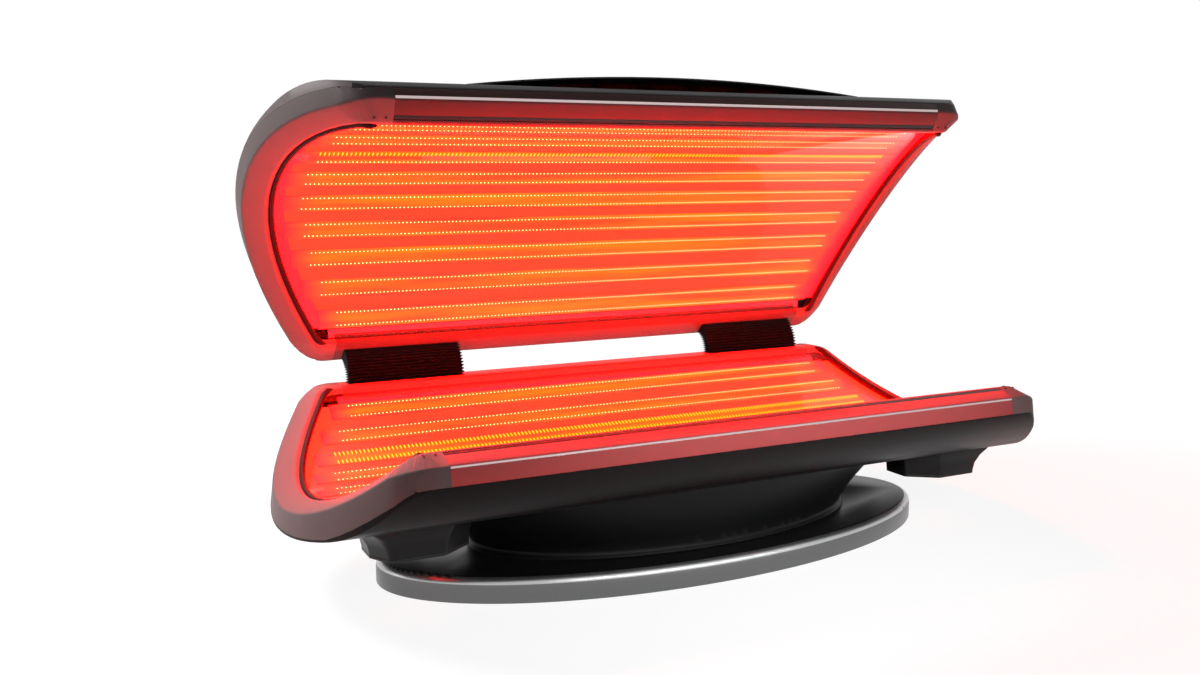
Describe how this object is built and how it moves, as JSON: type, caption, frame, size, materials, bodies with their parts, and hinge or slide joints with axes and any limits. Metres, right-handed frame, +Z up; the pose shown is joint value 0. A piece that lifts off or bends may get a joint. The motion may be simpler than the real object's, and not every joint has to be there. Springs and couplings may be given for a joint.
{
  "type": "red light therapy bed",
  "caption": "Clamshell light therapy bed: two curved acrylic light troughs with end trims, hinged at the back, on a hull over an oval pedestal base.",
  "frame": {"origin": "on the floor, under the middle of the oval base", "axes": "+X along the bed to the right seen from its open front, +Y to the hinges at the back, +Z up"},
  "size_m": [2.202, 1.1159, 1.3096],
  "materials": {
    "floor_steel": "black powder coat",
    "frame_steel": "black powder coat",
    "base_satin": "satin moulded skin with a lighter rounded edge",
    "pedestal_black": "black satin moulding",
    "hull_black": "black satin moulding",
    "vent_black": "black moulding",
    "driver_metal": "folded sheet",
    "tray_metal": "bright rolled sheet",
    "light_strip": "light board, lit red",
    "acrylic": "clear polished sheet",
    "inlet_black": "moulded",
    "switch_red": "polished rocker",
    "bellows_rubber": "pleated",
    "bright_steel": "turned",
    "hinge_steel": "black powder coat",
    "trim_silver": "satin silver lacquer",
    "rail_metal": "dark anodised extrusion"
  },
  "bodies": {
    "bed": {"base_plate": "floor_steel", "base_cover": "base_satin", "pedestal": "pedestal_black", "left_column": "frame_steel", "right_column": "frame_steel", "lower_hull": "hull_black", "bed_frame": "frame_steel", "light_drivers": "driver_metal", "bed_front_rail": "rail_metal", "bed_back_rail": "rail_metal", "bed_left_end_trim": "trim_silver", "bed_right_end_trim": "trim_silver", "bed_acrylic": "acrylic", "bed_light_tray": "tray_metal", "bed_light_strips": "light_strip", "fan_pods": "hull_black", "pod_grilles": "vent_black", "fan_frames": "vent_black", "mains_inlet": "inlet_black", "left_bed_hinge_leaf": "hinge_steel", "right_bed_hinge_leaf": "hinge_steel", "left_hinge_pin": "bright_steel", "right_hinge_pin": "bright_steel", "bed_hinge_bolts": "bright_steel", "left_bellows": "bellows_rubber", "right_bellows": "bellows_rubber"},
    "lid": {"lid_shell": "hull_black", "vent_cowl": "hull_black", "lid_frame": "frame_steel", "lid_front_rail": "rail_metal", "lid_back_rail": "rail_metal", "lid_left_end_trim": "trim_silver", "lid_right_end_trim": "trim_silver", "lid_acrylic": "acrylic", "lid_light_tray": "tray_metal", "lid_light_strips": "light_strip", "left_lid_hinge_leaf": "hinge_steel", "right_lid_hinge_leaf": "hinge_steel", "lid_hinge_bolts": "bright_steel"},
    "mains_switch": {"mains_switch": "switch_red"},
    "front_left_fan_rotor": {"front_left_fan_rotor": "vent_black"},
    "back_left_fan_rotor": {"back_left_fan_rotor": "vent_black"},
    "front_right_fan_rotor": {"front_right_fan_rotor": "vent_black"},
    "back_right_fan_rotor": {"back_right_fan_rotor": "vent_black"}
  },
  "joints": [
    {"name": "lid_hinge", "type": "hinge", "parent": "bed", "child": "lid", "pos_m": [0, 0.585, 0.443], "axis": [1, 0, 0], "range_deg": [0, 44], "deforming": ["left_bellows", "right_bellows"]},
    {"name": "front_left_fan_spin", "type": "hinge", "parent": "bed", "child": "front_left_fan_rotor", "pos_m": [-0.828, -0.212, 0.178], "axis": [0, 0, 1], "continuous": true},
    {"name": "back_left_fan_spin", "type": "hinge", "parent": "bed", "child": "back_left_fan_rotor", "pos_m": [-0.828, 0.232, 0.178], "axis": [0, 0, 1], "continuous": true},
    {"name": "front_right_fan_spin", "type": "hinge", "parent": "bed", "child": "front_right_fan_rotor", "pos_m": [0.828, -0.212, 0.178], "axis": [0, 0, 1], "continuous": true},
    {"name": "back_right_fan_spin", "type": "hinge", "parent": "bed", "child": "back_right_fan_rotor", "pos_m": [0.828, 0.232, 0.178], "axis": [0, 0, 1], "continuous": true},
    {"name": "mains_rocker", "type": "hinge", "parent": "bed", "child": "mains_switch", "pos_m": [0.024, 0.302, 0.13], "axis": [1, 0, 0], "range_deg": [0, 20]}
  ]
}
